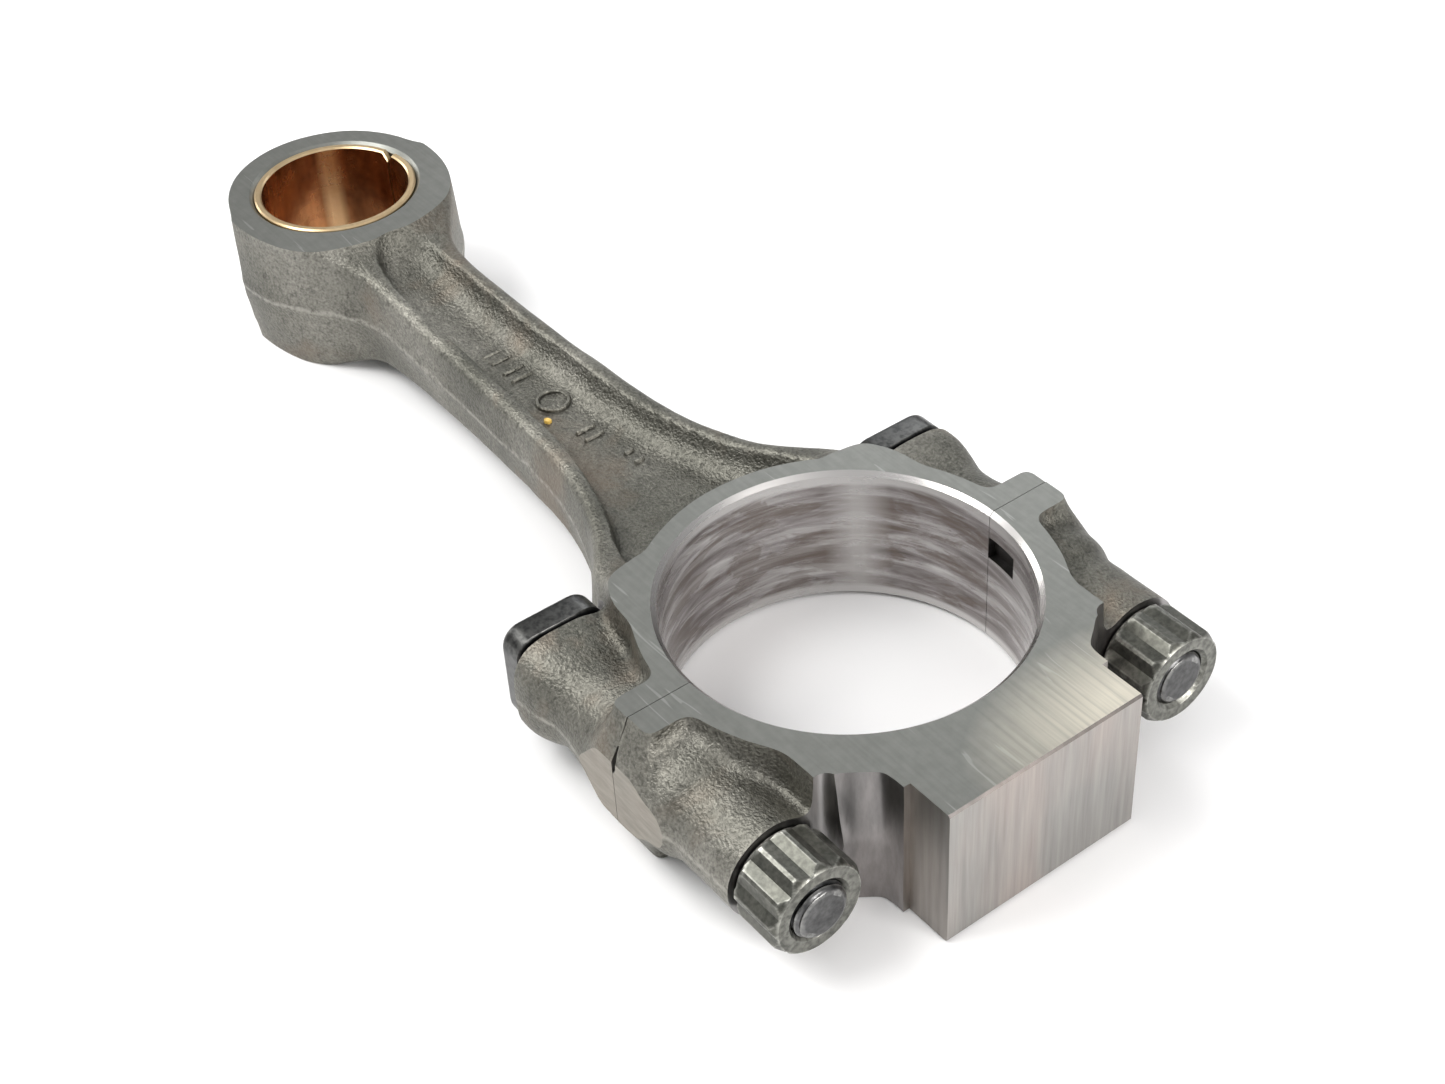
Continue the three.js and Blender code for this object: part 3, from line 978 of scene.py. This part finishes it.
# the marks forged into the web: plain dashes and a ring, standing a little proud
webMarks = {
    "rise": 0.42,
    "base": 2.6,
    "floor": 3.45,
    "around": 12,
    # middle x, middle y, length, width
    "dashes": [
        (117.6, 0.0, 5.2, 0.75), (114.4, 0.0, 5.2, 0.75), (110.0, 0.0, 5.2, 0.75),
        (106.8, 0.0, 5.2, 0.75), (83.4, 0.0, 4.6, 0.7), (80.2, 0.0, 4.6, 0.7),
        (71.6, -2.4, 2.2, 0.8), (68.0, -2.4, 2.2, 0.8),
    ],
    "ring": (95.6, -0.3, 3.3, 0.8),
    "ringSegments": 40,
}


def dashRows(x, y, length, width):
    s = webMarks
    top = s["floor"] + s["rise"]
    rows = []
    for level, inset in ((s["base"], -0.25), (top - 0.2, 0.0), (top, 0.18)):
        half, across = length / 2 - inset, width / 2 - inset
        row = []
        for k in range(s["around"]):
            angle = 2 * math.pi * (k + 0.5) / s["around"]
            u = math.copysign(half - across, math.cos(angle)) + across * math.cos(angle)
            row.append((x - across * math.sin(angle), y + u, level))
        rows.append(row)
    return rows


def ringRows():
    s = webMarks
    top = s["floor"] + s["rise"]
    x, y, radius, width = s["ring"]
    flank = [(0.3, top), (0.5, top - 0.2), (0.6, s["base"])]
    section = [(-across, level) for across, level in reversed(flank)] + flank
    rows = []
    for k in range(s["ringSegments"] + 1):
        angle = 2 * math.pi * (k % s["ringSegments"]) / s["ringSegments"]
        reach = [(radius + across * width, level) for across, level in section]
        rows.append([(x + r * math.cos(angle), y + r * math.sin(angle), level) for r, level in reach])
    return rows


def addWebMarks(rod):
    shape = bmesh.new()
    for dash in webMarks["dashes"]:
        joinRows(shape, dashRows(*dash))
    joinRows(shape, ringRows(), closeEnds=False)
    bmesh.ops.remove_doubles(shape, verts=shape.verts, dist=0.0001)
    combine(rod, [pieceFromShape("webMarks", shape, ["forged"])], "UNION")


# the notch that holds a bearing shell's tang
notchSet = {"reach": 7.6, "past": 1, "across": (30, 35.8), "level": (4.7, 9.7)}


def shellNotch(side):
    s = notchSet
    x0, x1 = sorted((-side * s["past"], side * s["reach"]))
    y0, y1 = sorted(side * y for y in s["across"])
    return block(x0, x1, y0, y1, *s["level"], "notch")


def makeRod():
    rod = forgingBlank("rodForging", *rodField(), rodForging["voxel"])
    cuts = sharedCuts(1) + [headSlot(-1), headSlot(1)]
    cuts.append(chamferedHole(rodForging["eyeBore"], rodForging["eyeChamfer"], pinDistance, "ground"))
    cuts.append(shellNotch(1))
    combine(rod, cuts)
    addWebMarks(rod)
    sharpenEdges(rod)
    return intoFrame(rod)


# prism that breaks a long edge of the pad at 45 degrees
def edgeBevel(x, z, size):
    up = math.copysign(1, z)
    outline = [(x + size + 1, z + up), (x - 1, z - up * (size + 1)), (x - 1, z + up)]
    return cutter("edgeBevel", [[(px, y, pz) for px, pz in outline] for y in (-past, past)], "bevel")


def makeCap():
    s = capForging
    cap = forgingBlank("capForging", *capField(), s["voxel"])
    reach = bigEnd["padReach"]
    cuts = sharedCuts(-1)
    cuts.append(block(-past, -reach, -past, past, -past, past, "pad"))
    for sign in (-1, 1):
        cuts.append(nutClearance(sign))
        y0, y1 = sorted((sign * s["padSide"], sign * past))
        cuts.append(block(-past, s["ridge"], y0, y1, -past, past, "padSide"))
        cuts.append(jointCrescent(sign))
    cuts.append(shellNotch(-1))
    cuts += [edgeBevel(-reach, level, s["padBevel"]) for level in (halfWidth, -halfWidth)]
    combine(cap, cuts)
    # forged faces between the two nuts carry the dressed finish
    cap.data.materials.append(finish["heel"])
    dressed = len(cap.data.materials) - 1
    forged = cap.data.materials.find("shotBlastedForging")
    heelX, heelY = s["dressedFrom"]
    for face in cap.data.polygons:
        behind = face.center.x < heelX and abs(face.center.y) < heelY
        if behind and face.material_index == forged:
            face.material_index = dressed
    sharpenEdges(cap)
    return intoFrame(cap)


def makeBush():
    s = bushSet
    top = halfWidth - s["below"]
    c = s["chamfer"]
    bore, outside = s["bore"], s["outside"]
    section = [
        (bore, -top + c), (bore, top - c), (bore + c, top), (outside - c, top),
        (outside, top - c), (outside, -top + c), (outside - c, -top), (bore + c, -top),
    ]
    half = math.degrees(s["seamWidth"] / s["bore"]) / 2
    wide = math.degrees(s["notchHalf"] / s["bore"])
    # closer spacing either side of the seam, where the notch is
    ends = list(np.linspace(half, wide, 4))
    angles = ends + list(np.linspace(wide + 2, 358 - wide, s["segments"]))
    angles += [360 - a for a in reversed(ends)]
    rows = []
    for angle in angles:
        away = min(angle, 360 - angle)
        dip = s["notchDepth"] * max(0.0, 1 - (away - half) / (wide - half))
        turn = math.radians(angle + s["seam"])
        row = []
        for radius, level in section:
            level = level - dip if level > 0 else level
            row.append((pinDistance + radius * math.cos(turn), radius * math.sin(turn), level))
        rows.append(row)
    shape = bmesh.new()
    joinRows(shape, rows)
    bush = pieceFromShape("wrappedBush", shape, ["bronze", "bronzeRim"])
    # the wall is the first strip of each ring of faces, the rest is rim
    for number, face in enumerate(bush.data.polygons):
        wall = len(face.vertices) == 4 and number % len(section) == 0
        face.material_index = 0 if wall else 1
    sharpenEdges(bush, 25)
    return intoFrame(bush)


boltSet = {
    "radius": 5.5,
    "root": 4.85,
    "pitch": 1.27,
    "headThickness": 6.8,
    "headWidth": 19.0,       # along y
    "headHeight": 21.0,      # along z
    "headShift": -0.7,       # towards the rod's centre line
    "headCorner": 4.2,
    "headRound": 1.5,
    "headSteps": [(0.0, 1.5), (0.65, 1.4), (0.85, 0.45), (1.15, 0.0)],    # along, inset
    "threadLength": 6.0,
    "pointRadius": 4.2,
    "pointSwell": 1.15,
    "segments": 40,
    "perTurn": 8,
    "tip": {"left": 1.3, "right": 0.1},   # how far it stands out of its nut
    "tipFinish": 1.4,
}


# a rounded slab for the bolt head, edges rolled over in a few steps
def headRows(s):
    rows = []
    depth, r = s["headThickness"], s["headRound"]
    steps = list(s["headSteps"])
    for i in range(7):
        angle = math.radians(15 * i)
        steps.append((depth - r + r * math.sin(angle), r * (1 - math.cos(angle))))
    steps.append((depth, r + 0.8))
    for along, inset in steps:
        w, h = s["headWidth"] / 2 - inset, s["headHeight"] / 2 - inset
        outline = roundedOutline(-w, w, -h, h, max(s["headCorner"] - inset, 0.8), 8)
        rows.append([(along, y, z) for y, z in outline])
    return rows


# shank with a cut thread near the tip
def shankRows(s, start, tip):
    rows = []
    threadStart = tip + s["threadLength"]
    along = [start, start - 2, threadStart + 1]
    steps = int(s["threadLength"] / s["pitch"] * s["perTurn"])
    along += [threadStart - s["threadLength"] * i / steps for i in range(steps + 1)]
    for x in along:
        row = []
        widest = s["pointRadius"] + s["pointSwell"] * math.sqrt(max(x - tip, 0))
        for i in range(s["segments"]):
            turn = i / s["segments"]
            phase = ((x - tip) / s["pitch"] + turn) % 1
            tooth = abs(2 * phase - 1)
            depth = (s["radius"] - s["root"]) * (1 - min(1, max(0, 1.6 * tooth - 0.3)))
            radius = min(s["radius"] - (depth if x < threadStart else 0), widest)
            angle = 2 * math.pi * turn
            row.append((x, radius * math.cos(angle), radius * math.sin(angle)))
        rows.append(row)
    rows.append([(tip, 0.93 * y, 0.93 * z) for _, y, z in rows[-1]])
    return rows


def makeBolt(name, sign):
    s = boltSet
    middle = sign * bigEnd["boltOffset"]
    shift = middle + sign * s["headShift"]
    seat = bigEnd["headSeat"] + bigEnd["seatGap"]
    tip = bigEnd["nutSeat"] - bigEnd["seatGap"] - nutSet["length"] - s["tip"][name]
    shape = bmesh.new()
    joinRows(shape, [[(seat + x, shift + y, z) for x, y, z in row] for row in headRows(s)])
    joinRows(shape, [[(x, middle + y, z) for x, y, z in row] for row in shankRows(s, seat + 1.0, tip)])
    bolt = pieceFromShape(name + "Bolt", shape, ["oxide", "tip"])
    for face in bolt.data.polygons:
        if face.center.x < tip + s["tipFinish"]:
            face.material_index = 1
    sharpenEdges(bolt, 40)
    return intoFrame(bolt)


nutSet = {
    "length": 11.7,
    "corner": 9.8,
    "face": 8.7,             # radius of the flat end ring
    "neck": 8.3,             # radius of the undercut against the seat
    "chamfer": 2.08,
    "mouth": 6.25,
    "bore": 5.62,
    "edge": 0.21,            # how much the twelve points are blunted
    "perPoint": 14,
    "turn": {"left": 6, "right": 16},   # degrees
}


# the twelve-point outline, points and grooves slightly rounded
def twelvePoint(s, angle):
    part = (angle * 12 / (2 * math.pi)) % 1
    part = min(part, 1 - part) * 2
    flat = s["corner"] * math.cos(math.radians(30))
    within = math.radians(15) * (1 - part)
    return min(flat / math.cos(math.radians(15) + within), s["corner"] - s["edge"])


def makeNut(name, sign):
    s = nutSet
    middle = sign * bigEnd["boltOffset"]
    length, corner, neck, bore, mouth = s["length"], s["corner"], s["neck"], s["bore"], s["mouth"]
    end = bigEnd["nutSeat"] - bigEnd["seatGap"] - length
    # (distance from the end face, widest radius allowed there)
    outside = [(length, neck), (length - 0.75, neck), (length - 0.8, corner - 0.5)]
    outside += [(length - 1.2, corner), (length - 2, 2 * corner)]
    for i in range(9):
        back = 1 - i / 8
        outside.append((s["chamfer"] * back, s["face"] + (corner - s["face"]) * 1.25 * back ** 0.8))
    inside = [(0.0, s["face"] - 0.25), (0.0, mouth + 0.15), (0.12, mouth), (0.8, bore)]
    inside += [(length - 0.8, bore), (length, mouth)]
    rows = []
    for number, (fromEnd, radius) in enumerate(outside + inside):
        row = []
        for i in range(12 * s["perPoint"]):
            angle = 2 * math.pi * i / (12 * s["perPoint"])
            reach = min(twelvePoint(s, angle), radius) if number < len(outside) else radius
            angle += math.radians(s["turn"][name])
            row.append((end + fromEnd, middle + reach * math.cos(angle), reach * math.sin(angle)))
        rows.append(row)
    shape = bmesh.new()
    rings = joinRows(shape, rows, closeEnds=False)
    first, last = rings[0], rings[-1]
    for i in range(len(first)):
        j = (i + 1) % len(first)
        shape.faces.new((last[i], last[j], first[j], first[i]))
    nut = pieceFromShape(name + "Nut", shape, ["phosphate"])
    sharpenEdges(nut, 22)
    return intoFrame(nut)


# a drop of marking paint in the foot of the web
paintSpeck = {
    "place": (90.8, 4.3, 3.5),
    "radius": 0.75,
    "height": 0.4,
    "shade": (0.42, 0.24, 0.03),
    "colour": (0.85, 0.60, 0.16),
}


def markingPaint():
    material, tree, shader = newMaterial("markingPaint", 0.0)
    look = paintSpeck
    tone = noise(tree, objectSpace(tree), 1400, 3, 0.5)
    link(tree, blendColour(tree, tone, look["shade"], look["colour"]), shader.inputs["Base Color"])
    shader.inputs["Roughness"].default_value = 0.3
    bump(tree, shader, [(tone, 0.2, 0.0001)])
    return material


def makeSpeck():
    s = paintSpeck
    finish["paint"] = markingPaint()
    rows = []
    for i in range(6):
        lift = math.radians(15 * i)
        row = []
        for k in range(20):
            angle = 2 * math.pi * k / 20
            wobble = 1 + 0.12 * math.sin(2 * angle + 0.6) + 0.06 * math.sin(5 * angle)
            reach = s["radius"] * math.cos(lift) * wobble
            row.append((reach * math.cos(angle), reach * math.sin(angle), s["height"] * math.sin(lift)))
        rows.append(row)
    rows.insert(0, [(x, y, -0.5) for x, y, _ in rows[0]])
    shape = bmesh.new()
    joinRows(shape, rows)
    speck = pieceFromShape("paintSpeck", shape, ["paint"])
    speck.data.transform(Matrix.Translation(s["place"]))
    sharpenEdges(speck, 60)
    return intoFrame(speck)


def layFloor():
    span, drop = studio["floorSpan"], studio["floorDrop"]
    shape = bmesh.new()
    plan = ((-span, -span), (span, -span), (span, span), (-span, span))
    shape.faces.new([shape.verts.new((x, y, -drop)) for x, y in plan])
    mesh = bpy.data.meshes.new("paleFloor")
    shape.to_mesh(mesh)
    shape.free()
    material, tree, shader = newMaterial("paleFloor", 0.0)
    grain = noise(tree, objectSpace(tree), 40, 3, 0.5)
    tone = studio["floorColour"]
    colour = blendColour(tree, grain, tuple(c * 0.985 for c in tone), tone)
    link(tree, colour, shader.inputs["Base Color"])
    shader.inputs["Roughness"].default_value = 0.85
    shader.inputs["Specular IOR Level"].default_value = 0.15
    mesh.materials.append(material)
    floor = bpy.data.objects.new("paleFloor", mesh)
    scene.collection.objects.link(floor)


placeCamera()
lightStudio()
layFloor()
print("studio ready")

rod = makeRod()
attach(rod, "rod")
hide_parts("rod_forging")
print("rod forging", len(rod.data.polygons))

speck = makeSpeck()
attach(speck, "rod")

cap = makeCap()
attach(cap, "cap")
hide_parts("big_end_cap")
print("cap forging", len(cap.data.polygons))

bush = makeBush()
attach(bush, "rod")
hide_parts("small_end_bush")
print("bush")

for name, sign in (("left", 1), ("right", -1)):
    bolt = makeBolt(name, sign)
    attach(bolt, "rod")
    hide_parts("bolt_" + name)
    nut = makeNut(name, sign)
    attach(nut, "nut_" + name)
    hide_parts("nut_" + name)
print("bolts and nuts")

scene.view_settings.view_transform = "Standard"
